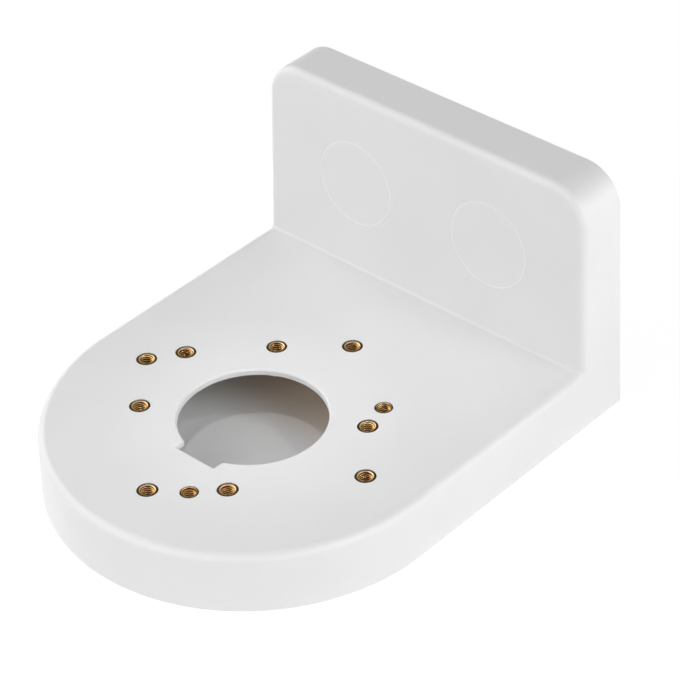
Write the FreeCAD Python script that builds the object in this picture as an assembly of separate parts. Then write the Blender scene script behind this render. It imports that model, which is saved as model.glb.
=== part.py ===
import FreeCAD
import Part

import math
import os

# Wall bracket for a dome camera: a white moulded shell, brass threaded inserts and two screw covers.
# Millimetres. The origin is the centre of the cable hole on the camera face, the flat top of the platform.
# +X runs along the wall, +Y towards the wall, +Z up. The bracket stands on the rim of its skirt.

# Outer form of the shell
bracket_width = 120.0            # across the camera face
platform_reach = 71.8            # from the hole centre to the front of the wall box, at the camera face
wall_box_depth = 17.4            # from that front to the wall, at the camera face
skirt_height = 18.8              # from the rim up to the camera face
wall_box_height = 59.0           # from the camera face up to the top of the wall box
draft_angle = 1.5                # degrees, on every side wall and on the front of the wall box
wall_box_corner_radius = 11.5
edge_round = 2.4                 # rim of the camera face and front edges of the wall box
inner_corner_round = 0.8         # where the wall box stands on the camera face

# Walls of the shell
plate_thickness = 2.0            # the platform
skirt_thickness = 2.3            # skirt, and sides and top of the wall box
panel_thickness = 2.5            # front of the wall box

# Cable hole and its key notch
cable_hole_diameter = 42.6
cable_hole_edge_bevel = 0.7
notch_width = 14.7
notch_reach = 23.5               # from the hole centre to the bottom of the notch

# Camera screw circles: diameter, angle of the first insert in degrees, and how many
outer_circle_diameter = 83.5
outer_circle_start = 0.0
outer_circle_count = 4
inner_circle_diameter = 65.0
inner_circle_start = 31.0
inner_circle_count = 4
middle_circle_diameter = 73.0
middle_circle_start = 45.0
middle_circle_count = 3

# Brass inserts for M4 screws
insert_diameter = 6.0            # over the knurls
slim_insert_diameter = 5.3
insert_length = 6.0
thread_bore_diameter = 3.3       # minor diameter of the M4 thread
knurl_teeth = 14
knurl_depth = 0.28
insert_sink = 0.1                # top of the insert below the camera face
insert_clearance = 0.03          # between the knurls and their seat, on the radius

# Bosses that hold the inserts
boss_wall = 1.6
boss_floor = 1.4                 # closed floor that the insert stands on

# Wall screw wells and their covers
screw_pitch = 50.0
screw_level = 29.3               # above the camera face
wall_screw_diameter = 5.2
cover_seat_diameter = 27.5
cover_clearance = 0.12           # around the cover, on the radius
cover_thickness = 2.0
cover_edge_bevel = 0.2
well_bore_diameter = 24.0
well_wall = 2.0                  # outside the cover seat
well_floor = 3.0                 # at the wall, under the screw head
plug_clearance = 0.3             # between the cover's plug and the well, on the radius
plug_rib_thickness = 1.6
plug_length = 4.5

# Stiffening ribs behind the wall box and under the platform
rib_thickness = 1.8
rib_recess = 1.5                 # back edge of the ribs in front of the wall
gusset_length = 28.0             # along the platform, from the front of the wall box
gusset_tip_depth = 4.0           # below the plate, at the gusset's thin end
gusset_rim_gap = 2.5             # from the gusset down to the level of the rim

# Values that follow from these
slope = math.tan(math.radians(draft_angle))
half_width = bracket_width / 2
wall_y = platform_reach + wall_box_depth
rim_z = -skirt_height
top_z = wall_box_height
insert_top_z = -insert_sink
insert_seat_z = insert_top_z - insert_length
boss_end_z = insert_seat_z - boss_floor
overcut = 5.0                    # how far a cutting solid runs past the surface it opens

X_AXIS = FreeCAD.Vector(1, 0, 0)
Y_AXIS = FreeCAD.Vector(0, 1, 0)
Z_AXIS = FreeCAD.Vector(0, 0, 1)


def side_x(z, inset=0.0):
    """Half the width of the drafted shell at height z, less an inset."""
    return half_width - slope * z - inset


def front_y(z, inset=0.0):
    """Place of the leaning front of the wall box at height z, less an inset."""
    return platform_reach + slope * z + inset


def prism(points, direction):
    """Solid swept from a closed polygon."""
    outline = Part.makePolygon(points + [points[0]])
    return Part.Face(outline).extrude(direction)


def fuse_all(solids):
    """One solid from several, with the seams between flush faces removed."""
    return solids[0].fuse(solids[1:]).removeSplitter()


def platform_block(inset, bottom_z, z_top, y_end):
    """D-shaped block with drafted sides: a cone frustum in front and a straight run to the back."""
    nose = Part.makeCone(
        side_x(bottom_z, inset),
        side_x(z_top, inset),
        z_top - bottom_z,
        FreeCAD.Vector(0, 0, bottom_z),
    )
    section = [
        FreeCAD.Vector(-side_x(bottom_z, inset), 0, bottom_z),
        FreeCAD.Vector(side_x(bottom_z, inset), 0, bottom_z),
        FreeCAD.Vector(side_x(z_top, inset), 0, z_top),
        FreeCAD.Vector(-side_x(z_top, inset), 0, z_top),
    ]
    return fuse_all([nose, prism(section, Y_AXIS * y_end)])


def box_outline(inset, bottom_z, z_top, corner_radius, y):
    """Front view of the wall box: drafted sides and rounded top corners."""
    tilt = math.radians(draft_angle)
    centre_z = z_top - corner_radius
    centre_x = side_x(centre_z, inset) - corner_radius / math.cos(tilt)
    middle = (math.pi / 2 + tilt) / 2

    def on_corner(angle, side):
        x = centre_x + corner_radius * math.cos(angle)
        z = centre_z + corner_radius * math.sin(angle)
        return FreeCAD.Vector(side * x, y, z)

    def corner(side):
        return Part.Arc(on_corner(tilt, side), on_corner(middle, side), on_corner(math.pi / 2, side)).toShape()

    def line(start, end):
        return Part.LineSegment(start, end).toShape()

    foot_left = FreeCAD.Vector(-side_x(bottom_z, inset), y, bottom_z)
    foot_right = FreeCAD.Vector(side_x(bottom_z, inset), y, bottom_z)
    edges = [
        line(foot_left, foot_right),
        line(foot_right, on_corner(tilt, 1)),
        corner(1),
        line(on_corner(math.pi / 2, 1), on_corner(math.pi / 2, -1)),
        corner(-1),
        line(on_corner(tilt, -1), foot_left),
    ]
    return Part.Wire(Part.__sortEdges__(edges))


def wall_block(inset, front_inset, bottom_z, z_top, corner_radius, y_end):
    """Upright block: its front view swept along Y, cut to its leaning side view."""
    start_y = front_y(bottom_z, front_inset)
    outline = box_outline(inset, bottom_z, z_top, corner_radius, start_y)
    along_wall = Part.Face(outline).extrude(Y_AXIS * (y_end - start_y))
    side_view = [
        FreeCAD.Vector(-bracket_width, front_y(bottom_z, front_inset), bottom_z),
        FreeCAD.Vector(-bracket_width, y_end, bottom_z),
        FreeCAD.Vector(-bracket_width, y_end, z_top),
        FreeCAD.Vector(-bracket_width, front_y(z_top, front_inset), z_top),
    ]
    return along_wall.common(prism(side_view, X_AXIS * (2 * bracket_width)))


def edges_where(shape, test):
    """Edges whose every sample point passes a test, apart from those that have shrunk to a point."""
    edges = [edge for edge in shape.Edges if not edge.Degenerated]
    return [edge for edge in edges if all(test(point) for point in edge.discretize(5))]


def near(value, target):
    return abs(value - target) < 1e-3


def outer_form():
    """The shell before it is hollowed: platform and wall box, with every edge towards the room rounded."""
    platform = platform_block(0.0, rim_z, 0.0, wall_y)
    box = wall_block(0.0, 0.0, rim_z, top_z, wall_box_corner_radius, wall_y)
    body = fuse_all([platform, box])
    inner_corner = edges_where(body, on_inner_corner)
    rim = edges_where(body, lambda p: near(p.z, 0.0))
    front = edges_where(body, lambda p: near(p.y, front_y(p.z)) and p.z > -1e-3)
    outer_edges = [edge for edge in rim + front if not any(edge.isSame(inner) for inner in inner_corner)]
    body = body.makeFillet(edge_round, outer_edges)
    return body.makeFillet(inner_corner_round, edges_where(body, on_inner_corner))


def on_inner_corner(point):
    """Whether a point lies where the wall box stands on the camera face."""
    return near(point.z, 0.0) and near(point.y, platform_reach)


def cavity():
    """The hollow inside: open below, and open to the wall."""
    below = rim_z - overcut
    behind = wall_y + overcut
    under_platform = platform_block(skirt_thickness, below, -plate_thickness, behind)
    in_box = wall_block(
        skirt_thickness,
        panel_thickness,
        below,
        top_z - skirt_thickness,
        wall_box_corner_radius - skirt_thickness,
        behind,
    )
    return fuse_all([under_platform, in_box])


def circle_places(diameter, start, count):
    """Evenly spaced places on a circle around the cable hole."""
    places = []
    for index in range(count):
        angle = math.radians(start + 360.0 * index / count)
        places.append(FreeCAD.Vector(math.cos(angle), math.sin(angle), 0) * (diameter / 2))
    return places


def insert_list():
    """Name, place and diameter of every insert."""
    inserts = []
    circles = [
        ("outer", outer_circle_diameter, outer_circle_start, outer_circle_count),
        ("inner", inner_circle_diameter, inner_circle_start, inner_circle_count),
        ("middle", middle_circle_diameter, middle_circle_start, middle_circle_count),
    ]
    for circle, diameter, start, count in circles:
        for index, place in enumerate(circle_places(diameter, start, count)):
            # The insert of the middle circle on the left is full size, the other two are slim.
            slim = circle == "middle" and index != 1
            size = slim_insert_diameter if slim else insert_diameter
            inserts.append((f"{circle}_insert_{index + 1}", place, size))
    return inserts


def upright_cylinder(place, radius, z_low, z_high):
    return Part.makeCylinder(radius, z_high - z_low, FreeCAD.Vector(place.x, place.y, z_low))


def boss(place, size):
    return upright_cylinder(place, size / 2 + boss_wall, boss_end_z, -plate_thickness / 2)


def insert_seat(place, size):
    """Seat for the insert, open at the camera face and closed below, which keeps rain out of the wall."""
    return upright_cylinder(place, size / 2 + insert_clearance, insert_seat_z, overcut)


def screw_places():
    """X of the left and right wall screws."""
    return [-screw_pitch / 2, screw_pitch / 2]


def cover_axis():
    """Direction into the wall box, square to its leaning front."""
    tilt = math.radians(draft_angle)
    return FreeCAD.Vector(0, math.cos(tilt), -math.sin(tilt))


def cover_centre(x):
    """Centre of a cover on the front of the wall box."""
    return FreeCAD.Vector(x, front_y(screw_level), screw_level)


def well_tube(x):
    """Outside of a screw well, from inside the front panel to the wall."""
    radius = cover_seat_diameter / 2 + well_wall
    start_y = front_y(screw_level) + panel_thickness / 2
    return Part.makeCylinder(radius, wall_y - start_y, FreeCAD.Vector(x, start_y, screw_level), Y_AXIS)


def well_opening(x):
    """Cover seat, well bore and wall screw hole of a screw well."""
    outside = cover_centre(x) - cover_axis() * overcut
    seat = Part.makeCylinder(cover_seat_diameter / 2, cover_thickness + overcut, outside, cover_axis())
    bore_start = FreeCAD.Vector(x, platform_reach, screw_level)
    bore_length = wall_box_depth - well_floor
    bore = Part.makeCylinder(well_bore_diameter / 2, bore_length, bore_start, Y_AXIS)
    hole = Part.makeCylinder(wall_screw_diameter / 2, wall_box_depth + overcut, bore_start, Y_AXIS)
    return seat.fuse([bore, hole])


def upright_rib(x):
    """Rib in line with a screw well: gusset under the platform and full height behind the panel."""
    start_x = x - rib_thickness / 2
    back_y = wall_y - rib_recess
    low_z = rim_z + gusset_rim_gap
    tip_y = platform_reach - gusset_length
    in_plate = -plate_thickness / 2
    in_top = top_z - skirt_thickness / 2
    outline = [
        (tip_y, in_plate),
        (tip_y, -plate_thickness - gusset_tip_depth),
        (platform_reach, low_z),
        (back_y, low_z),
        (back_y, in_top),
        (front_y(in_top, panel_thickness / 2), in_top),
        (front_y(in_plate, panel_thickness / 2), in_plate),
    ]
    points = [FreeCAD.Vector(start_x, y, z) for y, z in outline]
    return prism(points, X_AXIS * rib_thickness)


def level_rib(side):
    """Rib from a screw well out to the side of the wall box."""
    inner_x = screw_pitch / 2
    outer_x = side_x(screw_level, skirt_thickness / 2)
    start_y = front_y(screw_level, panel_thickness / 2)
    rib = Part.makeBox(outer_x - inner_x, wall_y - rib_recess - start_y, rib_thickness)
    rib.translate(FreeCAD.Vector(inner_x, start_y, screw_level - rib_thickness / 2))
    if side < 0:
        rib = rib.mirror(FreeCAD.Vector(0, 0, 0), X_AXIS)
    return rib


def cable_opening():
    """Round cable hole with its square key notch towards the front."""
    depth = plate_thickness + 2 * overcut
    hole = upright_cylinder(FreeCAD.Vector(0, 0, 0), cable_hole_diameter / 2, -depth / 2, depth / 2)
    notch = Part.makeBox(notch_width, notch_reach, depth)
    notch.translate(FreeCAD.Vector(-notch_width / 2, -notch_reach, -depth / 2))
    return hole.fuse(notch).removeSplitter()


def on_cable_opening(point):
    """Whether a point of the camera face lies on the rim of the cable hole or its notch."""
    on_circle = near(math.hypot(point.x, point.y), cable_hole_diameter / 2)
    in_notch = abs(point.x) < notch_width / 2 + 1e-3 and -notch_reach - 1e-3 < point.y < 0
    return near(point.z, 0.0) and (on_circle or in_notch)


def bracket_shell():
    """The moulding: hollow form, bosses, wells and ribs, then its openings."""
    outside = outer_form()
    shell = outside.cut(cavity())
    additions = [boss(place, size) for name, place, size in insert_list()]
    for x in screw_places():
        additions.append(well_tube(x))
        additions.append(upright_rib(x))
    additions.append(level_rib(1))
    additions.append(level_rib(-1))
    shell = fuse_all([shell] + additions)
    openings = [cable_opening()]
    openings += [insert_seat(place, size) for name, place, size in insert_list()]
    openings += [well_opening(x) for x in screw_places()]
    shell = shell.cut(openings)
    rim = edges_where(shell, on_cable_opening)
    return shell.makeChamfer(cable_hole_edge_bevel, rim)


def knurled_body(radius):
    """Straight, pointed knurl teeth from end to end of the insert."""
    points = []
    for index in range(2 * knurl_teeth):
        angle = math.pi * index / knurl_teeth
        reach = radius if index % 2 == 0 else radius - knurl_depth
        points.append(FreeCAD.Vector(reach * math.cos(angle), reach * math.sin(angle), insert_seat_z))
    return prism(points, Z_AXIS * insert_length)


def brass_insert(place, size):
    """Threaded insert: knurled outside, bored through."""
    centre = FreeCAD.Vector(0, 0, 0)
    bore = upright_cylinder(centre, thread_bore_diameter / 2, insert_seat_z - overcut, insert_top_z + overcut)
    insert = knurled_body(size / 2).cut(bore)
    insert.translate(place)
    return insert


def screw_cover(x):
    """Disc with a bevelled edge, and the crossed ribs that centre it in the well."""
    disc = Part.makeCylinder(cover_seat_diameter / 2 - cover_clearance, cover_thickness)
    front_edge = [edge for edge in disc.Edges if near(edge.CenterOfMass.Length, 0.0)]
    disc = disc.makeChamfer(cover_edge_bevel, front_edge)
    reach = well_bore_diameter / 2 - plug_clearance
    thickness = plug_rib_thickness
    # The corners of a rib's end stay on the circle of the plug.
    half_length = math.sqrt(reach ** 2 - (thickness / 2) ** 2)
    level = Part.makeBox(2 * half_length, thickness, plug_length)
    level.translate(FreeCAD.Vector(-half_length, -thickness / 2, cover_thickness))
    upright = Part.makeBox(thickness, 2 * half_length, plug_length)
    upright.translate(FreeCAD.Vector(-thickness / 2, -half_length, cover_thickness))
    cover = fuse_all([disc, level, upright])
    cover.rotate(FreeCAD.Vector(0, 0, 0), X_AXIS, -90 - draft_angle)
    cover.translate(cover_centre(x))
    return cover


def export(shape, node):
    os.makedirs("parts", exist_ok=True)
    shape.exportStep(f"parts/{node}.step")


def main():
    export(bracket_shell(), "bracket_shell")
    for name, place, size in insert_list():
        export(brass_insert(place, size), name)
    left_x, right_x = screw_places()
    export(screw_cover(left_x), "screw_cover_left")
    export(screw_cover(right_x), "screw_cover_right")


main()
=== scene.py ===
"""Camera wall bracket for the studio: moulded shell, brass inserts and screw covers in the CAD frame."""

import logging
import math
from collections.abc import Callable
from dataclasses import dataclass
from enum import Enum

import bmesh
import bpy
from mathutils import Matrix, Vector


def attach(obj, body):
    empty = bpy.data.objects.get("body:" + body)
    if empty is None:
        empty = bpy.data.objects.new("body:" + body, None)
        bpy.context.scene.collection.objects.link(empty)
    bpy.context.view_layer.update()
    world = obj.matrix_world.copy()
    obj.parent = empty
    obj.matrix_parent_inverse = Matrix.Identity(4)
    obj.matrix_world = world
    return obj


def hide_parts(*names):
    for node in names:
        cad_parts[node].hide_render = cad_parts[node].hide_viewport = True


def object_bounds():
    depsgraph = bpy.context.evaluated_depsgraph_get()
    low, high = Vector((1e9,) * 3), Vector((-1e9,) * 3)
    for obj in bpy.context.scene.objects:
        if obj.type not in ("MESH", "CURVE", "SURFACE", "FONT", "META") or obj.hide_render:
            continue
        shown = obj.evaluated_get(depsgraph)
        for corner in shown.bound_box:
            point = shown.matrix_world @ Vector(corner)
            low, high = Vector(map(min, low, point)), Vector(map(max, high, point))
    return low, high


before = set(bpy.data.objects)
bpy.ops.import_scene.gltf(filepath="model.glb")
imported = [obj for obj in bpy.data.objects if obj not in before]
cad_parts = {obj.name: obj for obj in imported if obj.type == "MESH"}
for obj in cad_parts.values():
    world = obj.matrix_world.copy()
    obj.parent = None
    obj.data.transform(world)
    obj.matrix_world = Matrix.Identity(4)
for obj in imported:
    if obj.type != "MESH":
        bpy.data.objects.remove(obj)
CAD_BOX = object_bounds()

LOG = logging.getLogger("camera_bracket")

Piece = bpy.types.Object
Material = bpy.types.Material
Tree = bpy.types.NodeTree
Socket = bpy.types.NodeSocket
Colour = tuple[float, float, float]

# Pieces are modelled in millimetres and brought to metres when they are finished.
MM = 0.001
CLOSE = 1e-3  # places nearer than this count as one, in millimetres
OVERCUT = 5.0  # how far a cutting shape runs past what it opens
FACING = 0.9  # least part along an axis of a direction that counts as pointing that way
SQUARE = 0.01  # greatest part along an axis of a direction that counts as square to it
RIM_STEPS = 6  # facets across the rounded rim of an opening
COVER_SIDES = 160  # of a screw cover and of its seat
SIDES = (-1, 1)  # left and right of the cable hole

TURNED_PLACE = "turned_place"
THREAD_DEPTH = "thread_depth"
WHITE = (1.0, 1.0, 1.0, 1.0)


class Joining(Enum):
    """What a tool shape does to the piece it is put to."""

    ADD = "UNION"
    CUT = "DIFFERENCE"


class Slot(Enum):
    """Material slots of the record."""

    SHELL = "white_plastic"
    COVER = "cover_plastic"
    INSERT = "insert_brass"


def take_up(piece: Piece) -> None:
    """Makes one piece the active and only selected object."""
    bpy.ops.object.select_all(action="DESELECT")
    piece.select_set(True)
    bpy.context.view_layer.objects.active = piece


def settle(piece: Piece) -> Piece:
    """Moves a piece's place, turn and scale into its mesh, and returns it."""
    take_up(piece)
    bpy.ops.object.transform_apply(location=True, rotation=True, scale=True)
    return piece


def put(piece: Piece, matrix: Matrix) -> Piece:
    """Places a piece by a matrix, in its mesh, and returns it."""
    piece.matrix_world = matrix
    return settle(piece)


def modify(piece: Piece, kind: str, **settings: object) -> None:
    """Puts a modifier on a piece and applies it.

    Args:
        piece: What is changed.
        kind: The modifier's type.
        settings: The modifier's properties by name.
    """
    take_up(piece)
    bpy.ops.object.modifier_add(type=kind)
    modifier = piece.modifiers[-1]
    for name, value in settings.items():
        setattr(modifier, name, value)
    bpy.ops.object.modifier_apply(modifier=modifier.name)


def combine(piece: Piece, tool: Piece, joining: Joining) -> None:
    """Adds a tool shape to a piece or cuts the piece with it, and deletes the tool.

    Args:
        piece: What is changed.
        tool: A closed shape.
        joining: Whether the tool is added or cut away.
    """
    modify(piece, "BOOLEAN", operation=joining.value, solver="EXACT", object=tool)
    bpy.data.objects.remove(tool)


def fuse(pieces: list[Piece]) -> Piece:
    """Joins pieces that don't overlap into the first one, and returns it."""
    take_up(pieces[0])
    for piece in pieces:
        piece.select_set(True)
    bpy.ops.object.join()
    return pieces[0]


def copy_of(piece: Piece) -> Piece:
    """A copy of a piece with its own mesh."""
    take_up(piece)
    bpy.ops.object.duplicate(linked=False)
    return bpy.context.object


def tangent_length(radius: float, opening: float) -> float:
    """Distance from a sharp edge to where its rounding starts.

    Args:
        radius: Radius of the rounding.
        opening: Angle between the two faces, through the material, in radians.

    Returns:
        The distance, along each face.
    """
    return radius / math.tan(opening / 2)


class Bench:
    """Edit mode on one piece, where vertices, edges and faces are picked by their place."""

    def __init__(self, piece: Piece) -> None:
        """Keeps the piece to work on."""
        self.piece = piece

    def __enter__(self) -> "Bench":
        """Opens the piece in edit mode with nothing selected."""
        take_up(self.piece)
        bpy.ops.object.mode_set(mode="EDIT")
        bpy.ops.mesh.select_all(action="DESELECT")
        return self

    def __exit__(self, *trouble: object) -> None:
        """Goes back to object mode."""
        bpy.ops.object.mode_set(mode="OBJECT")

    def _pick(self, kind: str, wanted: Callable[[object], bool]) -> None:
        """Selects the elements of one kind that pass a test, and what they carry."""
        bpy.ops.mesh.select_mode(type=kind)
        bpy.ops.mesh.select_all(action="DESELECT")
        mesh = bmesh.from_edit_mesh(self.piece.data)
        elements = {"VERT": mesh.verts, "EDGE": mesh.edges, "FACE": mesh.faces}[kind]
        for element in elements:
            element.select_set(wanted(element))
        mesh.select_flush_mode()
        bmesh.update_edit_mesh(self.piece.data)

    def pick_verts(self, wanted: Callable[[Vector], bool]) -> None:
        """Selects the vertices whose place passes a test."""
        self._pick("VERT", lambda vert: wanted(vert.co))

    def pick_edges(self, wanted: Callable[[Vector, Vector], bool]) -> None:
        """Selects the edges whose middle and direction pass a test."""

        def suits(edge: bmesh.types.BMEdge) -> bool:
            start, end = (vert.co for vert in edge.verts)
            return wanted((start + end) / 2, (end - start).normalized())

        self._pick("EDGE", suits)

    def pick_faces(self, wanted: Callable[[Vector, Vector], bool]) -> None:
        """Selects the faces whose centre and normal pass a test."""
        self._pick("FACE", lambda face: wanted(face.calc_center_median(), face.normal))

    def pick_top(self) -> None:
        """Selects the faces that look up."""
        self.pick_faces(lambda middle, normal: normal.z > FACING)

    def pick_all(self) -> None:
        """Selects everything, down to the vertices."""
        bpy.ops.mesh.select_mode(type="VERT")
        bpy.ops.mesh.select_all(action="SELECT")

    def extrude(self, x: float, y: float, z: float) -> None:
        """Extrudes the selection and moves it."""
        bpy.ops.mesh.extrude_region_move(TRANSFORM_OT_translate={"value": (x, y, z)})

    def move(self, x: float, y: float, z: float) -> None:
        """Moves the selection."""
        bpy.ops.transform.translate(value=(x, y, z))

    def scale(self, x: float, y: float, z: float, centre: Vector = Vector((0, 0, 0))) -> None:
        """Scales the selection about a centre."""
        bpy.ops.transform.resize(value=(x, y, z), center_override=centre)

    def round_off(self, offset: float, steps: int) -> None:
        """Rounds the selected edges off."""
        bpy.ops.mesh.bevel(offset=offset, segments=steps, affect="EDGES", clamp_overlap=False)

    def round_region_edge(self, offset: float, steps: int) -> None:
        """Rounds off the edges round the selected faces."""
        bpy.ops.mesh.region_to_loop()
        self.round_off(offset, steps)

    def face_outwards(self) -> None:
        """Turns every face outwards."""
        self.pick_all()
        bpy.ops.mesh.normals_make_consistent(inside=False)

    def finish_with(self, index: int) -> None:
        """Gives the selected faces the piece's material of a number."""
        self.piece.active_material_index = index
        bpy.ops.object.material_slot_assign()


def round_bar(radius: float, low: float, high: float, sides: int) -> Piece:
    """Upright cylinder about the origin, between two heights."""
    centre = (0, 0, (low + high) / 2)
    bpy.ops.mesh.primitive_cylinder_add(vertices=sides, radius=radius, depth=high - low, location=centre)
    return settle(bpy.context.object)


def block(low: Vector, high: Vector) -> Piece:
    """Box between two corners."""
    bpy.ops.mesh.primitive_cube_add(size=1, location=(low + high) / 2)
    piece = bpy.context.object
    piece.scale = high - low
    return settle(piece)


def rim_foot(rim: float) -> float:
    """Height where a cutter's rounded rim starts, so that the rim ends a hair above the face at height 0."""
    return CLOSE - rim


def widen_mouth(bench: Bench, half_x: float, half_y: float, centre: Vector, rim: float) -> None:
    """Carries the top of a cutter up through a rounded rim that ends just above height 0, and on above it.

    Args:
        bench: Edit mode on the cutter, which ends at rim_foot(rim).
        half_x: Half the cutter's size along X.
        half_y: Half its size along Y.
        centre: Centre of its top.
        rim: Radius of the rounding that it leaves.
    """
    bench.pick_top()
    growth_before = 0.0
    height_before = 0.0
    for step in range(1, RIM_STEPS + 1):
        angle = math.pi / 2 * step / RIM_STEPS
        growth = rim * (1 - math.cos(angle))
        height = rim * math.sin(angle)
        bench.extrude(0, 0, height - height_before)
        wider, longer = ((half + growth) / (half + growth_before) for half in (half_x, half_y))
        bench.scale(wider, longer, 1, centre)
        growth_before = growth
        height_before = height
    bench.extrude(0, 0, OVERCUT)


def rimmed_cutter(radius: float, depth: float, rim: float, sides: int) -> Piece:
    """Round cutter from below height 0, with a rounding at the mouth it cuts."""
    cutter = round_bar(radius, -depth, rim_foot(rim), sides)
    with Bench(cutter) as bench:
        widen_mouth(bench, radius, radius, Vector((0, 0, 0)), rim)
    return cutter


def flare(bench: Bench, radius: float, change: float, height: float) -> None:
    """Carries the top of a round shape up by a height while its radius changes evenly."""
    bench.pick_top()
    bench.extrude(0, 0, height)
    share = (radius + change) / radius
    bench.scale(share, share, 1)


def smooth(piece: Piece, sharp_from: float = 32.0) -> None:
    """Shades a piece smooth, with crisp edges past an angle in degrees and flat faces kept flat."""
    take_up(piece)
    bpy.ops.object.shade_smooth_by_angle(angle=math.radians(sharp_from))
    modify(piece, "WEIGHTED_NORMAL", mode="FACE_AREA", keep_sharp=True)


def clean(piece: Piece) -> None:
    """Splits the many-sided faces that cuts leave, merges doubled vertices and drops faces with no area."""
    with Bench(piece) as bench:
        bpy.ops.mesh.select_mode(type="FACE")
        bpy.ops.mesh.select_face_by_sides(number=4, type="GREATER")
        bpy.ops.mesh.quads_convert_to_tris(ngon_method="BEAUTY")
        bench.pick_all()
        bpy.ops.mesh.remove_doubles(threshold=CLOSE / 2)
        bpy.ops.mesh.dissolve_degenerate(threshold=CLOSE / 2)


def hand_over(piece: Piece, name: str, node: str) -> None:
    """Brings a finished piece to metres and puts it in the frame in place of a CAD node.

    Args:
        piece: The piece, in millimetres.
        name: Its name from now on.
        node: The CAD node that it stands for.
    """
    piece.name = name
    piece.data.name = name
    piece.scale = (MM, MM, MM)
    settle(piece)
    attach(piece, "root")
    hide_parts(node)
    LOG.info("%s stands for %s with %d faces", name, node, len(piece.data.polygons))


@dataclass(frozen=True)
class Form:
    """One skin of the moulding: a D-shaped platform with an upright box at its back, all sides drafted."""

    half_width: float  # at height 0
    front: float  # front of the upright box, at height 0
    back: float
    base: float
    plate: float  # height of the platform
    top: float
    corner_radius: float
    draft: float  # radians

    nose_sides: int = 96
    corner_steps: int = 20
    round_steps: int = 8

    @property
    def foot_of_front(self) -> float:
        """Front of the upright box where it stands on the platform."""
        return self.front_at(self.plate)

    def side_at(self, z: float) -> float:
        """Half the width at a height."""
        return self.half_width - math.tan(self.draft) * z

    def front_at(self, z: float) -> float:
        """Front of the upright box at a height."""
        return self.front + math.tan(self.draft) * z

    def build(self, edge_round: float, inner_round: float) -> Piece:
        """Builds the closed form.

        Args:
            edge_round: Radius along the platform's rim and round the front of the upright box.
            inner_round: Radius in the corner between the two.

        Returns:
            The new piece.
        """
        bpy.ops.mesh.primitive_circle_add(
            vertices=2 * self.nose_sides, radius=self.side_at(self.base), location=(0, 0, self.base)
        )
        piece = settle(bpy.context.object)
        with Bench(piece) as bench:
            self._outline(bench)
            self._raise(bench)
            self._round(bench, edge_round, inner_round)
        return piece

    def _outline(self, bench: Bench) -> None:
        """Cuts the circle to a half and draws its ends back to the wall."""
        bench.pick_verts(lambda place: place.y > CLOSE)
        bpy.ops.mesh.delete(type="VERT")
        bench.pick_all()
        bpy.ops.mesh.edge_face_add()
        bench.pick_verts(lambda place: place.y > -CLOSE)
        bench.extrude(0, self.foot_of_front, 0)
        bench.extrude(0, self.back - self.foot_of_front, 0)

    def _raise(self, bench: Bench) -> None:
        """Raises the platform and the upright box with their draft."""
        bench.pick_all()
        bench.extrude(0, 0, self.plate - self.base)
        taper = self.side_at(self.plate) / self.side_at(self.base)
        bench.scale(taper, 1, 1)
        bench.pick_verts(lambda place: place.z > self.plate - CLOSE and place.y < -CLOSE)
        bench.scale(1, taper, 1)
        foot = self.foot_of_front
        bench.pick_faces(lambda middle, normal: middle.z > self.plate - CLOSE and middle.y > foot)
        bench.extrude(0, 0, self.top - self.plate)
        bench.scale(self.side_at(self.top) / self.side_at(self.plate), 1, 1)
        bench.pick_verts(lambda place: place.z > self.top - CLOSE and place.y < foot + CLOSE)
        bench.move(0, self.front_at(self.top) - foot, 0)
        bench.face_outwards()
        bpy.ops.mesh.dissolve_limited(angle_limit=math.radians(0.1))

    def _round(self, bench: Bench, edge_round: float, inner_round: float) -> None:
        """Rounds the top corners, the inner corner and every edge that faces the room."""
        opening = math.pi / 2 + self.draft
        at_corner = self.side_at(self.top) - CLOSE
        bench.pick_edges(lambda middle, along: middle.z > self.top - CLOSE and abs(middle.x) > at_corner)
        bench.round_off(tangent_length(self.corner_radius, opening), self.corner_steps)
        corner = Vector((self.foot_of_front, self.plate))
        bench.pick_edges(lambda middle, along: (middle.yz - corner).length < CLOSE)
        bench.round_off(tangent_length(inner_round, opening), self.round_steps // 2)
        bench.pick_faces(self._faces_camera)
        bench.round_region_edge(tangent_length(edge_round, opening), self.round_steps)

    def _faces_camera(self, middle: Vector, normal: Vector) -> bool:
        """Whether a face is the platform's top, the front of the upright box or the corner between them."""
        above_base = middle.z > self.base + CLOSE
        return abs(normal.x) < SQUARE and above_base and middle.y < self.front_at(middle.z) + CLOSE


@dataclass(frozen=True)
class InsertPlace:
    """Where one threaded insert goes, and its diameter."""

    node: str
    centre: Vector
    diameter: float
    turn: float  # how far it turned while it was pressed in, in radians


@dataclass(frozen=True)
class ScrewCircle:
    """Evenly spaced inserts around the cable hole."""

    name: str
    diameter: float
    start: float  # degrees
    diameters: tuple[float, ...]
    turns_per_round: int = 5  # how often the inserts' turns go round along the circle

    def places(self) -> list[InsertPlace]:
        """Places of the circle's inserts, named as their CAD nodes are."""
        found = []
        for index, diameter in enumerate(self.diameters):
            angle = math.radians(self.start + 360 * index / len(self.diameters))
            centre = Vector((math.cos(angle), math.sin(angle), 0)) * (self.diameter / 2)
            node = f"{self.name}_insert_{index + 1}"
            found.append(InsertPlace(node, centre, diameter, angle * self.turns_per_round))
        return found


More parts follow.
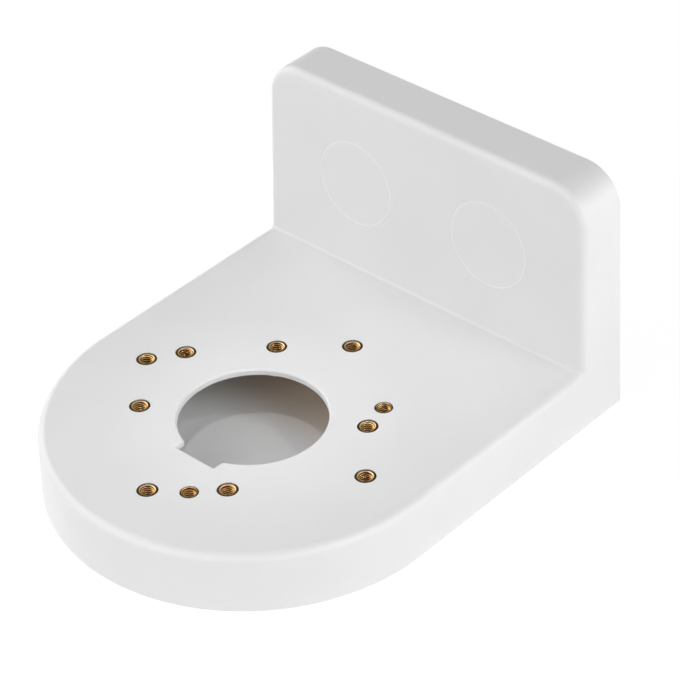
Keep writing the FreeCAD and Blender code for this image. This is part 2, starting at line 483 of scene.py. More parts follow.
@dataclass
class BracketShell:
    """The moulded shell: hollow form, insert bosses, screw wells and ribs, and its openings."""

    outside: Form = Form(
        half_width=60.0,
        front=71.8,
        back=89.2,
        base=-18.8,
        plate=0.0,
        top=59.0,
        corner_radius=11.5,
        draft=math.radians(1.5),
    )
    edge_round: float = 2.4
    inner_round: float = 0.8
    foot_round: float = 0.3
    cavity_round: float = 0.8

    plate_thickness: float = 2.0
    skirt_thickness: float = 2.3
    panel_thickness: float = 2.5

    hole_radius: float = 21.3
    hole_rim: float = 0.8
    hole_sides: int = 192
    notch_width: float = 14.7
    notch_reach: float = 23.5
    notch_corner: float = 0.35

    seat_clearance: float = 0.03
    seat_depth: float = 6.1
    seat_rim: float = 0.1
    seat_sides: int = 96
    boss_wall: float = 1.6
    boss_end: float = -7.5
    boss_sides: int = 64

    screw_x: float = 25.0
    screw_level: float = 29.3
    cover_seat_radius: float = 13.75
    cover_flare_width: float = 0.1
    cover_flare_depth: float = 0.06
    cover_thickness: float = 2.0
    well_radius: float = 12.0
    well_wall: float = 2.0
    well_floor: float = 3.0
    well_sides: int = 128
    wall_screw_radius: float = 2.6

    rib_thickness: float = 1.8
    rib_recess: float = 1.5
    gusset_length: float = 28.0
    gusset_tip_depth: float = 4.0
    gusset_rim_gap: float = 2.5

    @property
    def inside(self) -> Form:
        """The moulding's cavity, which runs out at the wall and below."""
        skin = self.outside
        return Form(
            half_width=skin.half_width - self.skirt_thickness,
            front=skin.front + self.panel_thickness,
            back=skin.back + OVERCUT,
            base=skin.base - OVERCUT,
            plate=-self.plate_thickness,
            top=skin.top - self.skirt_thickness,
            corner_radius=skin.corner_radius - self.skirt_thickness,
            draft=skin.draft,
        )

    @property
    def mid_panel(self) -> float:
        """Middle of the front panel at the level of the wall screws."""
        return self.outside.front_at(self.screw_level) + self.panel_thickness / 2

    def cover_frame(self, side: int) -> Matrix:
        """Matrix of a screw cover: its origin on the front of the wall box, its Z out into the room.

        Args:
            side: -1 for the left cover, 1 for the right one.

        Returns:
            The matrix.
        """
        place = Vector((side * self.screw_x, self.outside.front_at(self.screw_level), self.screw_level))
        return Matrix.Translation(place) @ Matrix.Rotation(math.pi / 2 - self.outside.draft, 4, "X")

    def well_frame(self, side: int, start: float) -> Matrix:
        """Matrix of a screw well: its origin at a start along Y, its Z straight to the wall."""
        place = Vector((side * self.screw_x, start, self.screw_level))
        return Matrix.Translation(place) @ Matrix.Rotation(-math.pi / 2, 4, "X")

    def build(self, inserts: list[InsertPlace]) -> Piece:
        """Models the shell.

        Args:
            inserts: Where the threaded inserts go.

        Returns:
            The shell, in millimetres.
        """
        shell = self.outside.build(self.edge_round, self.inner_round)
        self._ease_foot(shell)
        combine(shell, self.inside.build(self.cavity_round, self.cavity_round), Joining.CUT)
        combine(shell, fuse([self._boss(insert) for insert in inserts]), Joining.ADD)
        for part in (self._well, self._upright_rib, self._level_rib):
            combine(shell, fuse([part(side) for side in SIDES]), Joining.ADD)
        combine(shell, fuse([self._seat(insert) for insert in inserts]), Joining.CUT)
        combine(shell, self._cable_opening(), Joining.CUT)
        for side in SIDES:
            combine(shell, self._cover_seat(side), Joining.CUT)
            combine(shell, self._well_bore(side), Joining.CUT)
        clean(shell)
        smooth(shell)
        return shell

    def _ease_foot(self, shell: Piece) -> None:
        """Takes the sharpness off the edges that stand on the ground and against the wall."""
        with Bench(shell) as bench:
            bench.pick_faces(lambda middle, normal: normal.z < -FACING or normal.y > FACING)
            bench.round_region_edge(self.foot_round, steps=2)

    def _boss(self, insert: InsertPlace) -> Piece:
        """Boss under the platform that holds one insert."""
        radius = insert.diameter / 2 + self.boss_wall
        boss = round_bar(radius, self.boss_end, -self.plate_thickness / 2, self.boss_sides)
        with Bench(boss) as bench:
            bench.pick_faces(lambda middle, normal: normal.z < -FACING)
            bench.round_region_edge(self.foot_round, steps=3)
        return put(boss, Matrix.Translation(insert.centre))

    def _seat(self, insert: InsertPlace) -> Piece:
        """Cutter for the seat of one insert."""
        radius = insert.diameter / 2 + self.seat_clearance
        cutter = rimmed_cutter(radius, self.seat_depth, self.seat_rim, self.seat_sides)
        return put(cutter, Matrix.Translation(insert.centre))

    def _cable_opening(self) -> Piece:
        """Cutter for the cable hole and its key notch, with a rounded rim."""
        depth = self.plate_thickness + OVERCUT
        cutter = rimmed_cutter(self.hole_radius, depth, self.hole_rim, self.hole_sides)
        half_width = self.notch_width / 2
        half_length = self.notch_reach / 2
        foot = rim_foot(self.hole_rim)
        tip = -self.notch_reach
        notch = block(Vector((-half_width, tip, -depth)), Vector((half_width, 0, foot)))
        with Bench(notch) as bench:
            bench.pick_edges(lambda middle, along: middle.y < tip + CLOSE and abs(along.z) > FACING)
            bench.round_off(self.notch_corner, steps=4)
            widen_mouth(bench, half_width, half_length, Vector((0, -half_length, 0)), self.hole_rim)
        combine(cutter, notch, Joining.ADD)
        return cutter

    def _well(self, side: int) -> Piece:
        """Outside of one screw well, from inside the front panel to the wall."""
        length = self.outside.back - self.mid_panel
        tube = round_bar(self.cover_seat_radius + self.well_wall, 0, length, self.well_sides)
        with Bench(tube) as bench:
            bench.pick_top()
            bench.round_region_edge(self.foot_round, steps=2)
        return put(tube, self.well_frame(side, self.mid_panel))

    def _cover_seat(self, side: int) -> Piece:
        """Cutter for the shallow seat of one cover, with a flared mouth."""
        radius = self.cover_seat_radius
        cutter = round_bar(radius, -self.cover_thickness, -self.cover_flare_depth, COVER_SIDES)
        with Bench(cutter) as bench:
            flare(bench, radius, self.cover_flare_width, self.cover_flare_depth + CLOSE)
            bench.extrude(0, 0, OVERCUT)
        return put(cutter, self.cover_frame(side))

    def _well_bore(self, side: int) -> Piece:
        """Cutter for one well's bore and its wall screw hole."""
        depth = self.outside.back - self.outside.front - self.well_floor
        bore = round_bar(self.well_radius, 0, depth, self.well_sides)
        with Bench(bore) as bench:
            bench.pick_top()
            bpy.ops.mesh.inset(thickness=self.well_radius - self.wall_screw_radius, depth=0)
            bench.extrude(0, 0, self.well_floor + OVERCUT)
        return put(bore, self.well_frame(side, self.outside.front))

    def _upright_rib(self, side: int) -> Piece:
        """Rib in line with a well: a gusset under the platform and a full-height rib behind the panel."""
        front = self.outside.front
        back = self.outside.back - self.rib_recess
        in_plate = -self.plate_thickness / 2
        in_panel = self.panel_thickness / 2
        low = self.outside.base + self.gusset_rim_gap
        top = self.outside.top - self.skirt_thickness / 2
        tip = front - self.gusset_length
        half = self.rib_thickness / 2
        corner = Vector((side * self.screw_x - half, front, low))
        rib = block(corner, Vector((side * self.screw_x + half, back, in_plate)))
        with Bench(rib) as bench:
            bench.pick_faces(lambda middle, normal: normal.y < -FACING)
            bench.extrude(0, -self.gusset_length, 0)
            bench.pick_verts(lambda place: place.y < tip + CLOSE and place.z < low + CLOSE)
            bench.move(0, 0, -self.plate_thickness - self.gusset_tip_depth - low)
            bench.pick_faces(lambda middle, normal: normal.z > FACING and middle.y > front)
            bench.extrude(0, 0, top - in_plate)
            bench.pick_verts(lambda place: place.z > top - CLOSE and place.y < front + CLOSE)
            bench.move(0, self.outside.front_at(top) - front + in_panel, 0)
            bench.pick_verts(lambda place: (place.yz - Vector((front, in_plate))).length < CLOSE)
            bench.move(0, in_panel, 0)
        return rib

    def _level_rib(self, side: int) -> Piece:
        """Rib from a well out to the side of the wall box."""
        outer = self.outside.side_at(self.screw_level) - self.skirt_thickness / 2
        half = self.rib_thickness / 2
        low_x, high_x = sorted((side * self.screw_x, side * outer))
        low = Vector((low_x, self.mid_panel, self.screw_level - half))
        return block(low, Vector((high_x, self.outside.back - self.rib_recess, self.screw_level + half)))


@dataclass
class ThreadedInsert:
    """Brass insert with a knurled ring round its land, a bevel inside it, and a cut M4 thread with a lead."""

    diameter: float
    ring_width: float  # width of the knurled ring round the land
    length: float = 6.0
    top: float = -0.1
    knurl_teeth: int = 26
    tooth_sides: int = 4
    knurl_depth: float = 0.28
    ring_drop: float = 0.1  # how far the ring lies below the land
    shoulder: float = 0.12  # bevel on the teeth at the top
    land_width: float = 0.06  # flat between the ring and the bevel
    bevel_depth: float = 0.18
    lead_radius: float = 1.98  # where the bevel ends and the lead into the thread starts, at 45 degrees
    lead_overlap: float = 0.1  # how far the lead's cutter reaches in past the thread's crest
    mouth_overcut: float = 1.0
    minor_radius: float = 1.7
    major_radius: float = 2.05
    pitch: float = 0.7
    spare_turns: int = 4
    steps_per_turn: int = 40
    sharp_from: float = 24.0  # degrees between faces that keep a crisp edge

    @property
    def land_radius(self) -> float:
        """Radius of the flat land."""
        return self.diameter / 2 - self.ring_width

    def build(self) -> Piece:
        """Models the insert about the origin, in millimetres."""
        insert = self._knurled_body()
        core = round_bar(self.land_radius, self.top - self.length / 2, self.top, 2 * self.steps_per_turn)
        combine(insert, core, Joining.ADD)
        combine(insert, self._tap(), Joining.CUT)
        combine(insert, self._mouth(), Joining.CUT)
        clean(insert)
        self._note_places(insert)
        smooth(insert, self.sharp_from)
        return insert

    def dress(self, insert: Piece, brasses: list[Material]) -> None:
        """Gives the land, the thread and the knurled ring their brass.

        Args:
            insert: The insert.
            brasses: The materials of the land, the thread and the ring.
        """
        for brass in brasses:
            insert.data.materials.append(brass)
        with Bench(insert) as bench:
            bench.pick_faces(lambda middle, normal: self._in_thread(middle))
            bench.finish_with(1)
            bench.pick_faces(lambda middle, normal: middle.xy.length > self.land_radius - CLOSE)
            bench.finish_with(2)

    def _in_thread(self, place: Vector) -> bool:
        """Whether a place lies in the thread or its lead, inside the bevel."""
        return place.xy.length < self.major_radius + CLOSE

    def _knurled_body(self) -> Piece:
        """Body with pointed teeth all round, bevelled at the top."""
        radius = self.diameter / 2
        sides = self.tooth_sides * self.knurl_teeth
        high = self.top - self.ring_drop
        body = round_bar(radius, self.top - self.length, high - self.shoulder, sides)
        step = 2 * math.pi / sides
        with Bench(body) as bench:
            bench.pick_verts(lambda place: round(math.atan2(place.y, place.x) / step) % self.tooth_sides == 0)
            root = (radius - self.knurl_depth) / radius
            bench.scale(root, root, 1)
            flare(bench, radius, -self.shoulder, self.shoulder)
        return body

    def _tap(self) -> Piece:
        """Screw-shaped cutter that runs out at both ends of the insert."""
        flat = self.pitch / 6
        flank = (self.pitch - flat - flat) / 2
        low = self.top - self.length - 2 * self.pitch
        tap = self._profile_line(
            [
                (self.minor_radius, low),
                (self.minor_radius, low + flat),
                (self.major_radius, low + flat + flank),
                (self.major_radius, low + flat + flank + flat),
                (self.minor_radius, low + self.pitch),
            ]
        )
        modify(
            tap,
            "SCREW",
            screw_offset=self.pitch,
            iterations=math.ceil(self.length / self.pitch) + self.spare_turns,
            steps=self.steps_per_turn,
            render_steps=self.steps_per_turn,
        )
        below = (0, 0, self.top - self.length - self.pitch / 2)
        above = (0, 0, self.top + self.pitch / 2)
        with Bench(tap) as bench:
            bench.pick_all()
            bpy.ops.mesh.remove_doubles(threshold=CLOSE)
            bench.pick_all()
            bpy.ops.mesh.bisect(plane_co=below, plane_no=(0, 0, 1), use_fill=True, clear_inner=True)
            bench.pick_all()
            bpy.ops.mesh.bisect(plane_co=above, plane_no=(0, 0, 1), use_fill=True, clear_outer=True)
            bench.face_outwards()
        return tap

    def _profile_line(self, points: list[tuple[float, float]]) -> Piece:
        """Open line through points of radius and height, extruded from a single vertex."""
        bpy.ops.mesh.primitive_plane_add(size=1, location=(0, 0, 0))
        line = bpy.context.object
        with Bench(line) as bench:
            bench.pick_all()
            bpy.ops.mesh.merge(type="CENTER")
            bench.move(points[0][0], 0, points[0][1])
            for start, end in zip(points, points[1:]):
                bench.extrude(end[0] - start[0], 0, end[1] - start[1])
        return line

    def _mouth(self) -> Piece:
        """Cutter for the lead into the thread and the shallow bevel above it."""
        narrow = self.minor_radius - self.lead_overlap
        depth = self.lead_radius - narrow
        spread = self.land_radius - self.land_width - self.lead_radius
        bpy.ops.mesh.primitive_cone_add(
            vertices=2 * self.steps_per_turn,
            radius1=narrow,
            radius2=self.lead_radius,
            depth=depth,
            location=(0, 0, self.top - self.bevel_depth - depth / 2),
        )
        cone = settle(bpy.context.object)
        with Bench(cone) as bench:
            flare(bench, self.lead_radius, spread, self.bevel_depth)
            bench.extrude(0, 0, self.mouth_overcut)
        return cone

    def _note_places(self, insert: Piece) -> None:
        """Keeps each vertex's place and its depth in the thread, for finishes that follow the insert and for
        the painted shade in the thread's grooves.
        """
        mesh = insert.data
        places = mesh.attributes.new(TURNED_PLACE, "FLOAT_VECTOR", "POINT")
        depths = mesh.attributes.new(THREAD_DEPTH, "FLOAT", "POINT")
        full_depth = self.major_radius - self.minor_radius
        for vert, place, depth in zip(mesh.vertices, places.data, depths.data):
            place.vector = vert.co
            if self._in_thread(vert.co):
                depth.value = (vert.co.xy.length - self.minor_radius) / full_depth


@dataclass
class ScrewCover:
    """Flush round cover of a screw well, with crossed ribs behind it."""

    radius: float = 13.72
    thickness: float = 2.0
    flare_width: float = 0.5
    flare_depth: float = 0.06
    rib_reach: float = 11.7
    rib_thickness: float = 1.6
    rib_length: float = 4.5

    def build(self) -> Piece:
        """Models the cover with its front at height 0 and its ribs below."""
        disc = round_bar(self.radius, -self.thickness, -self.flare_depth, COVER_SIDES)
        with Bench(disc) as bench:
            flare(bench, self.radius, -self.flare_width, self.flare_depth)
        half = self.rib_thickness / 2
        half_length = math.sqrt(self.rib_reach**2 - half**2)
        low = -self.thickness - self.rib_length
        inside = -self.thickness / 2
        level = block(Vector((-half_length, -half, low)), Vector((half_length, half, inside)))
        upright = block(Vector((-half, -half_length, low)), Vector((half, half_length, inside)))
        combine(level, upright, Joining.ADD)
        combine(disc, level, Joining.ADD)
        clean(disc)
        smooth(disc)
        return disc

    def dress(self, cover: Piece, face: Material, edge: Material) -> None:
        """Gives the cover its plastic, and the polished bevel round its face a glossier plastic painted
        whiter, a painted highlight.
        """
        cover.data.materials.append(face)
        cover.data.materials.append(edge)
        inner = self.radius - self.flare_width
        low = -self.flare_depth
        with Bench(cover) as bench:
            bench.pick_faces(lambda middle, normal: middle.z > low and middle.xy.length > inner)
            bench.finish_with(1)


class Nodes:
    """A node tree that is wired as its nodes are added."""

    def __init__(self, tree: Tree) -> None:
        """Keeps the tree and empties it."""
        self.tree = tree
        tree.nodes.clear()

    def add(self, kind: str, inputs: dict | None = None, **settings: object) -> bpy.types.Node:
        """Adds a node.

        Args:
            kind: The node's type.
            inputs: What its input sockets get, by name or number: a value, or a socket to be wired to.
            settings: Its properties by name.

        Returns:
            The node.
        """
        node = self.tree.nodes.new(kind)
        for name, value in settings.items():
            setattr(node, name, value)
        for name, value in (inputs or {}).items():
            if isinstance(value, Socket):
                self.tree.links.new(value, node.inputs[name])
            else:
                node.inputs[name].default_value = value
        return node

    def show(self, surface: Socket, output: str = "ShaderNodeOutputMaterial") -> None:
        """Wires a shader to the tree's output."""
        self.add(output, {"Surface": surface})

    def compute(self, operation: str, first: Socket, second: Socket) -> Socket:
        """A value worked out from two others."""
        return self.add("ShaderNodeMath", {0: first, 1: second}, operation=operation).outputs["Value"]

    def blend(self, mask: Socket, low: Colour | Socket, high: Colour | Socket) -> Socket:
        """A colour that goes from one to another with a mask."""
        ends = [end if isinstance(end, Socket) else (*end, 1) for end in (low, high)]
        mix = self.add("ShaderNodeMix", {"Factor": mask, "A": ends[0], "B": ends[1]}, data_type="RGBA")
        return mix.outputs["Result"]

    def span(self, mask: Socket, low: float, high: float) -> Socket:
        """A value that goes from one number to another with a mask."""
        inputs = {"Value": mask, "To Min": low, "To Max": high}
        return self.add("ShaderNodeMapRange", inputs).outputs["Result"]

    def soft_step(
        self, value: Socket, start: float, end: float, low: float = 0.0, high: float = 1.0
    ) -> Socket:
        """A value that goes softly from one number to another while a second one passes a stretch.

        Args:
            value: What is watched.
            start: Where the stretch starts.
            end: Where it ends.
            low: The result before the stretch.
            high: The result after it.

        Returns:
            The socket.
        """
        inputs = {"Value": value, "From Min": start, "From Max": end, "To Min": low, "To Max": high}
        return self.add("ShaderNodeMapRange", inputs, interpolation_type="SMOOTHSTEP").outputs["Result"]


def surface_tone_group() -> Tree:
    """Slow and fine unevenness of a surface, for its colour, its gloss and its relief."""
    group = bpy.data.node_groups.new("surface_tone", "ShaderNodeTree")
    group.interface.new_socket("Place", in_out="INPUT", socket_type="NodeSocketVector")
    ways = {"Patch Scale": "INPUT", "Grain Scale": "INPUT", "Patches": "OUTPUT", "Grain": "OUTPUT"}
    for name, way in ways.items():
        group.interface.new_socket(name, in_out=way, socket_type="NodeSocketFloat")
    nodes = Nodes(group)
    given = nodes.add("NodeGroupInput").outputs
    patch_inputs = {"Vector": given["Place"], "Scale": given["Patch Scale"], "Detail": 3.0}
    patches = nodes.add("ShaderNodeTexNoise", patch_inputs).outputs["Fac"]
    grain_inputs = {"Vector": given["Place"], "Scale": given["Grain Scale"], "Detail": 2.0, "Roughness": 0.6}
    grain = nodes.add("ShaderNodeTexNoise", grain_inputs).outputs["Fac"]
    spread = nodes.add("ShaderNodeMapRange", {"Value": patches, "From Min": 0.3, "From Max": 0.7})
    nodes.add("NodeGroupOutput", {"Patches": spread.outputs["Result"], "Grain": grain})
    return group


def new_material(name: str) -> tuple[Material, Nodes]:
    """An empty material and the helper that wires it."""
    material = bpy.data.materials.new(name)
    material.use_nodes = True
    return material, Nodes(material.node_tree)


@dataclass(frozen=True)
class WhitePlastic:
    """Satin white moulded plastic with a fine spark-eroded grain."""

    name: str
    white: float
    shade: float
    roughness: tuple[float, float]
    grain_relief: float  # metres
    patch_scale: float = 38.0  # per metre
    grain_scale: float = 2600.0  # per metre
    refraction: float = 1.5

    def material(self, tone: Tree) -> Material:
        """Builds the material around the shared tone group."""
        material, nodes = new_material(self.name)
        place = nodes.add("ShaderNodeTexCoord").outputs["Object"]
        scales = {"Place": place, "Patch Scale": self.patch_scale, "Grain Scale": self.grain_scale}
        uneven = nodes.add("ShaderNodeGroup", scales, node_tree=tone).outputs
        relief = nodes.add("ShaderNodeBump", {"Height": uneven["Grain"], "Distance": self.grain_relief})
        surface = nodes.add(
            "ShaderNodeBsdfPrincipled",
            {
                "Base Color": nodes.blend(uneven["Patches"], (self.shade,) * 3, (self.white,) * 3),
                "Roughness": nodes.span(uneven["Grain"], *self.roughness),
                "Normal": relief.outputs["Normal"],
                "IOR": self.refraction,
            },
        )
        nodes.show(surface.outputs["BSDF"])
        return material


@dataclass(frozen=True)
class TurnedBrass:
    """Brass with fine turning marks that follow the insert it is on, and painted shade in the thread's
    grooves.
    """

    name: str
    colour: Colour
    tarnish: Colour
    # colour of the painted shade in the thread's roots
    groove_shade: Colour
    edge: Colour
    roughness: tuple[float, float]
    groove_shade_from: float = 0.15  # depth in the thread where the painted groove shade starts, 0 on the crest
    groove_shade_full: float = 0.5  # and where it has taken over, 1 in the root
    patch_scale: float = 1.1  # per millimetre
    grain_scale: float = 14.0  # per millimetre
    mark_scale: float = 5.0
    mark_waver: float = 0.6
    mark_strength: float = 0.25
    mark_relief: float = 0.00001  # metres

    def material(self, tone: Tree) -> Material:
        """Builds the material around the shared tone group."""
        material, nodes = new_material(self.name)
        place = nodes.add("ShaderNodeAttribute", attribute_name=TURNED_PLACE).outputs["Vector"]
        scales = {"Place": place, "Patch Scale": self.patch_scale, "Grain Scale": self.grain_scale}
        uneven = nodes.add("ShaderNodeGroup", scales, node_tree=tone).outputs
        depth = nodes.add("ShaderNodeAttribute", attribute_name=THREAD_DEPTH).outputs["Fac"]
        # Painted shade: the thread darkens towards its roots by depth, in place of the shade in its grooves.
        groove_shade_mask = nodes.soft_step(depth, self.groove_shade_from, self.groove_shade_full)
        bare = nodes.blend(uneven["Patches"], self.tarnish, self.colour)
        wave = {"Vector": place, "Scale": self.mark_scale, "Distortion": self.mark_waver, "Detail": 1.0}
        marks = nodes.add("ShaderNodeTexWave", wave, wave_type="RINGS", rings_direction="Z").outputs["Fac"]
        bump = {"Height": marks, "Strength": self.mark_strength, "Distance": self.mark_relief}
        surface = nodes.add(
            "ShaderNodeBsdfPrincipled",
            {
                "Base Color": nodes.blend(groove_shade_mask, bare, self.groove_shade),
                "Roughness": nodes.span(uneven["Grain"], *self.roughness),
                "Normal": nodes.add("ShaderNodeBump", bump).outputs["Normal"],
                "Metallic": 1.0,
                "Specular Tint": (*self.edge, 1),
            },
        )
        nodes.show(surface.outputs["BSDF"])
        return material


def seen_directly(nodes: Nodes, mirrored: Socket | None = None) -> Socket:
    """1 for what the camera sees, also mirrored or through glass, and 0 for light that falls on the object.

    Args:
        nodes: The tree to add to.
        mirrored: How much of it a reflection shows, where that isn't all.

    Returns:
        The socket.
    """
    rays = nodes.add("ShaderNodeLightPath").outputs
    in_mirror = rays["Is Glossy Ray"]
    if mirrored is not None:
        in_mirror = nodes.compute("MULTIPLY", in_mirror, mirrored)
    either = nodes.compute("MAXIMUM", rays["Is Camera Ray"], in_mirror)
    return nodes.compute("MAXIMUM", either, rays["Is Transmission Ray"])


def one_sided(nodes: Nodes, surface: Socket) -> Socket:
    """The same surface, but clear to a camera that looks up from below it."""
    rays = nodes.add("ShaderNodeLightPath").outputs
    geometry = nodes.add("ShaderNodeNewGeometry").outputs
    from_below = nodes.compute("MULTIPLY", rays["Is Camera Ray"], geometry["Backfacing"])
    clear = nodes.add("ShaderNodeBsdfTransparent").outputs["BSDF"]
    return nodes.add("ShaderNodeMixShader", {"Fac": from_below, 1: surface, 2: clear}).outputs["Shader"]


def direction(azimuth: float, elevation: float) -> Vector:
    """Unit vector out to a place around the bracket, in degrees: azimuth 0 is the room side, 90 the right."""
    around, above = math.radians(azimuth), math.radians(elevation)
    return Vector((math.sin(around) * math.cos(above), -math.cos(around) * math.cos(above), math.sin(above)))


@dataclass(frozen=True)
class Lamp:
    """A studio lamp, by where it hangs around the bracket."""

    name: str
    azimuth: float  # degrees
    elevation: float  # degrees
    power: float  # watts

    def _hang(self, kind: str, distance: float, target: Vector) -> bpy.types.Light:
        """Puts the lamp up and aims it.

        Args:
            kind: Its type in Blender.
            distance: How far it hangs from what it looks at, in metres.
            target: What it looks at.

        Returns:
            Its light, to be shaped.
        """
        bpy.ops.object.light_add(type=kind)
        lamp = bpy.context.object
        lamp.name = self.name
        lamp.data.energy = self.power
        out = direction(self.azimuth, self.elevation)
        lamp.location = target + out * distance
        lamp.rotation_mode = "QUATERNION"
        lamp.rotation_quaternion = out.to_track_quat("Z", "Y")
        return lamp.data


@dataclass(frozen=True)
class SoftBox(Lamp):
    """A square soft lamp that looks at the bracket."""

    distance: float = 1.2  # metres
    width: float = 0.7  # metres
    target: Vector = Vector((0.0, 0.02, 0.01))

    def hang(self) -> None:
        """Puts the lamp up, aimed at its target."""
        light = self._hang("AREA", self.distance, self.target)
        light.size = self.width


@dataclass(frozen=True)
class HoleLamp(Lamp):
    """A narrow lamp whose beam just passes through the cable hole, onto the ground under the bracket."""

    lamp_radius: float  # metres, which sets how soft the hole's shadow is
    distance: float = 0.6  # metres
    beam_radius: float = 0.0208  # metres, at the hole
    softness: float = 0.3  # share of the beam over which it fades out

    def hang(self) -> None:
        """Puts the lamp up, aimed at the middle of the hole."""
        light = self._hang("SPOT", self.distance, Vector((0, 0, 0)))
        light.spot_size = 2 * math.atan(self.beam_radius / self.distance)
        light.spot_blend = self.softness
        light.shadow_soft_size = self.lamp_radius


@dataclass
class Studio:
    """White table, lamps and the camera of the photograph. Lengths are in metres, angles in degrees."""

    table_height: float
    table_size: float = 8.0
    table_white: float = 0.9
    table_glow: float = 0.85  # share of the table's white that shadows can't darken
    table_light: float = 1.08  # strength of that share
    card_radius: float = 0.0575
    card_sides: int = 96
    card_lift: float = 0.00005
    card_split: float = 0.02  # behind this the card is drawn to the wall
    card_stretch: float = 0.03
    card_shade_start: float = 0.012  # where the painted shade on the card starts
    card_shade_full: float = 0.034  # where the painted shade is darkest
    card_light: Colour = (0.85, 0.85, 0.85)
    # painted shade: the warm, darker colour of the card towards the wall, for the shade under the bracket
    card_painted_shade: Colour = (0.77, 0.64, 0.52)
    ceiling_edge: float = 48.0  # height where the ceiling starts to darken
    ceiling_dark: float = 66.0  # height from which it is darkest
    ceiling_tone: float = 0.06
    camera_azimuth: float = 43.281
    camera_elevation: float = 36.603
    camera_roll: float = -2.542
    camera_distance: float = 0.843528
    camera_target: Vector = Vector((-0.004435, 0.041383, 0.000194))
    camera_reach: tuple[float, float] = (0.05, 50.0)
    focal_pixels: float = 2934.66
    picture_pixels: float = 680.0
    sensor_width: float = 36.0  # millimetres

    def lamps(self) -> list[SoftBox | HoleLamp]:
        """Soft lamps around the bracket, and narrow ones that light the ground through the hole."""
        return [
            SoftBox("right_low_softbox", 90.0, 8.0, 3.8),
            SoftBox("right_softbox", 90.0, 35.0, 4.7),
            SoftBox("right_back_softbox", 112.0, 35.0, 1.3, width=0.5),
            SoftBox("back_low_softbox", 135.0, 8.0, 4.7),
            SoftBox("front_low_softbox", 0.0, 8.0, 3.6),
            SoftBox("left_low_softbox", -90.0, 8.0, 2.9),
            SoftBox("left_softbox", -90.0, 35.0, 4.4),
            SoftBox("left_front_softbox", -45.0, 35.0, 3.7),
            SoftBox("near_softbox", 0.0, 35.0, 0.4, distance=0.45, width=0.25),
            HoleLamp("wide_hole_spot", 43.0, 77.0, 7.0, lamp_radius=0.08),
            HoleLamp("narrow_hole_spot", 43.0, 77.0, 3.6, lamp_radius=0.028),
            HoleLamp("right_hole_spot", 112.0, 56.0, 5.8, lamp_radius=0.05),
            HoleLamp("left_hole_spot", -26.0, 56.0, 0.6, lamp_radius=0.05),
        ]

    def set_up(self) -> None:
        """Builds the whole set."""
        self._world()
        self._table()
        for lamp in self.lamps():
            lamp.hang()
        self._camera()

    def _world(self) -> None:
        """White to look at, with a dark ceiling that only reflections show. It gives no diffuse light."""
        world = bpy.data.worlds.new("studio_room")
        world.use_nodes = True
        nodes = Nodes(world.node_tree)
        sight = nodes.add("ShaderNodeTexCoord").outputs["Generated"]
        upward = nodes.add("ShaderNodeSeparateXYZ", {"Vector": sight}).outputs["Z"]
        edge, dark = (math.sin(math.radians(height)) for height in (self.ceiling_edge, self.ceiling_dark))
        ceiling = nodes.soft_step(upward, edge, dark, 1.0, self.ceiling_tone)
        strength = seen_directly(nodes, ceiling)
        background = nodes.add("ShaderNodeBackground", {"Color": WHITE, "Strength": strength})
        nodes.show(background.outputs["Background"], "ShaderNodeOutputWorld")
        bpy.context.scene.world = world

    def _table(self) -> None:
        """The pale table, and the card under the bracket that shows through the cable hole."""
        bpy.ops.mesh.primitive_plane_add(size=self.table_size, location=(0, 0, self.table_height))
        table = settle(bpy.context.object)
        table.name = "studio_table"
        table.data.materials.append(self._table_material())
        centre = (0, 0, self.table_height + self.card_lift)
        bpy.ops.mesh.primitive_circle_add(
            vertices=self.card_sides, radius=self.card_radius, fill_type="NGON", location=centre
        )
        card = settle(bpy.context.object)
        card.name = "ground_card"
        with Bench(card) as bench:
            bench.pick_verts(lambda place: place.y > self.card_split)
            bench.move(0, self.card_stretch, 0)
        card.data.materials.append(self._card_material())

    def _table_material(self) -> Material:
        """White that stays white to the eye and still takes a faint shadow."""
        material, nodes = new_material("table_white")
        share = nodes.span(seen_directly(nodes), 0.0, self.table_glow)
        white = (self.table_white, self.table_white, self.table_white, 1)
        matt = nodes.add("ShaderNodeBsdfDiffuse", {"Color": white}).outputs["BSDF"]
        emission = nodes.add("ShaderNodeEmission", {"Color": WHITE, "Strength": self.table_light})
        glow = emission.outputs["Emission"]
        mix = nodes.add("ShaderNodeMixShader", {"Fac": share, 1: matt, 2: glow}).outputs["Shader"]
        nodes.show(one_sided(nodes, mix))
        return material

    def _card_material(self) -> Material:
        """Matt ground that takes every shadow, light in front, with painted shade that makes it warm and
        darker towards the wall.
        """
        material, nodes = new_material("card_ground_painted_shade")
        place = nodes.add("ShaderNodeTexCoord").outputs["Object"]
        towards_wall = nodes.add("ShaderNodeSeparateXYZ", {"Vector": place}).outputs["Y"]
        # Painted shade: the card's colour darkens and warms towards the wall, on top of the shadow it takes.
        far = nodes.soft_step(towards_wall, self.card_shade_start, self.card_shade_full)
        colour = nodes.blend(far, self.card_light, self.card_painted_shade)
        matt = nodes.add("ShaderNodeBsdfDiffuse", {"Color": colour}).outputs["BSDF"]
        nodes.show(one_sided(nodes, matt))
        return material

    def _camera(self) -> None:
        """Camera at the photograph's place."""
        bpy.ops.object.camera_add()
        camera = bpy.context.object
        camera.name = "studio_camera"
        camera.data.sensor_width = self.sensor_width
        camera.data.sensor_fit = "HORIZONTAL"
        camera.data.lens = self.focal_pixels / self.picture_pixels * self.sensor_width
        camera.data.clip_start, camera.data.clip_end = self.camera_reach
        camera.matrix_world = (
            Matrix.Translation(self.camera_target)
            @ Matrix.Rotation(math.radians(self.camera_azimuth), 4, "Z")
            @ Matrix.Rotation(math.radians(90 - self.camera_elevation), 4, "X")
            @ Matrix.Rotation(math.radians(self.camera_roll), 4, "Z")
            @ Matrix.Translation((0, 0, self.camera_distance))
        )
        bpy.context.scene.camera = camera


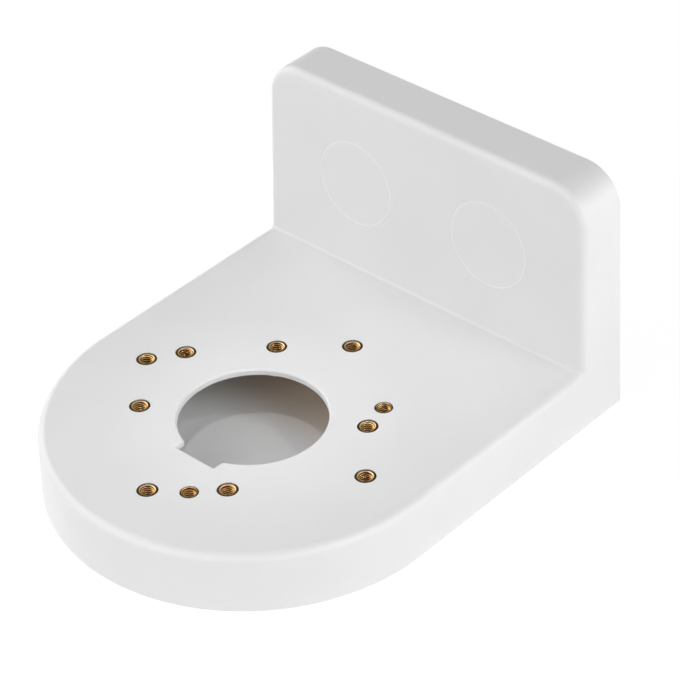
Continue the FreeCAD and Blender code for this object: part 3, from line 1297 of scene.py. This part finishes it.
FULL_INSERT = 6.0
SLIM_INSERT = 5.3
RING_WIDTHS = {FULL_INSERT: 0.68, SLIM_INSERT: 0.48}

CIRCLES = [
    ScrewCircle("outer", 83.5, 0.0, (FULL_INSERT,) * 4),
    ScrewCircle("inner", 65.0, 31.0, (FULL_INSERT,) * 4),
    ScrewCircle("middle", 73.0, 45.0, (SLIM_INSERT, FULL_INSERT, SLIM_INSERT)),
]

SHELL_PLASTIC = WhitePlastic("moulded_white", 0.81, 0.79, (0.38, 0.5), 0.000008)
COVER_PLASTIC = WhitePlastic("cover_white", 0.815, 0.795, (0.38, 0.5), 0.000008)
# Painted highlight: the covers' bevels are painted whiter than the covers so their rims show as light lines;
# the lower roughness is real gloss.
COVER_EDGE_HIGHLIGHT_PLASTIC = WhitePlastic("cover_edge_painted_highlight", 0.9, 0.87, (0.3, 0.4), 0.000004)
LAND_BRASS = TurnedBrass(
    name="land_brass",
    colour=(0.60, 0.46, 0.26),
    tarnish=(0.38, 0.26, 0.12),
    groove_shade=(0.60, 0.46, 0.26),
    edge=(0.66, 0.50, 0.29),
    roughness=(0.40, 0.50),
)
THREAD_BRASS = TurnedBrass(
    name="thread_brass",
    colour=(0.88, 0.57, 0.26),
    tarnish=(0.70, 0.37, 0.11),
    # painted shade in the thread's roots
    groove_shade=(0.07, 0.007, 0.001),
    edge=(0.6, 0.35, 0.12),
    roughness=(0.30, 0.40),
)
RING_BRASS = TurnedBrass(
    name="knurl_brass",
    colour=(0.10, 0.07, 0.028),
    tarnish=(0.04, 0.026, 0.009),
    groove_shade=(0.10, 0.07, 0.028),
    edge=(0.24, 0.17, 0.07),
    roughness=(0.35, 0.5),
)


def build_inserts(places: list[InsertPlace], tone: Tree) -> None:
    """Models one insert of each diameter and puts a copy of it at each place."""
    brasses = [brass.material(tone) for brass in (LAND_BRASS, THREAD_BRASS, RING_BRASS)]
    masters = {}
    for diameter, ring_width in RING_WIDTHS.items():
        kind = ThreadedInsert(diameter, ring_width)
        masters[diameter] = kind.build()
        kind.dress(masters[diameter], brasses)
    for place in places:
        turn = Matrix.Rotation(place.turn, 4, "Z")
        insert = put(copy_of(masters[place.diameter]), Matrix.Translation(place.centre) @ turn)
        hand_over(insert, f"{place.node}_brass", place.node)
    for master in masters.values():
        bpy.data.objects.remove(master)


def build_covers(bracket: BracketShell, tone: Tree) -> None:
    """Models the two screw covers and puts them in their seats."""
    face = COVER_PLASTIC.material(tone)
    # painted highlight on the covers' bevels
    edge = COVER_EDGE_HIGHLIGHT_PLASTIC.material(tone)
    kind = ScrewCover()
    for name, side in zip(("left", "right"), SIDES):
        cover = kind.build()
        kind.dress(cover, face, edge)
        put(cover, bracket.cover_frame(side))
        hand_over(cover, f"{name}_cover_disc", f"screw_cover_{name}")


def main() -> None:
    """Builds the bracket's pieces in order, then the studio."""
    logging.basicConfig(level=logging.INFO, format="%(name)s: %(message)s")
    tone = surface_tone_group()
    places = [place for circle in CIRCLES for place in circle.places()]

    bracket = BracketShell()
    shell = bracket.build(places)
    shell.data.materials.append(SHELL_PLASTIC.material(tone))
    hand_over(shell, "moulded_shell", "bracket_shell")
    build_inserts(places, tone)
    build_covers(bracket, tone)

    bpy.context.scene.view_settings.view_transform = "Standard"
    Studio(table_height=CAD_BOX[0].z).set_up()


if __name__ == "__main__":
    main()
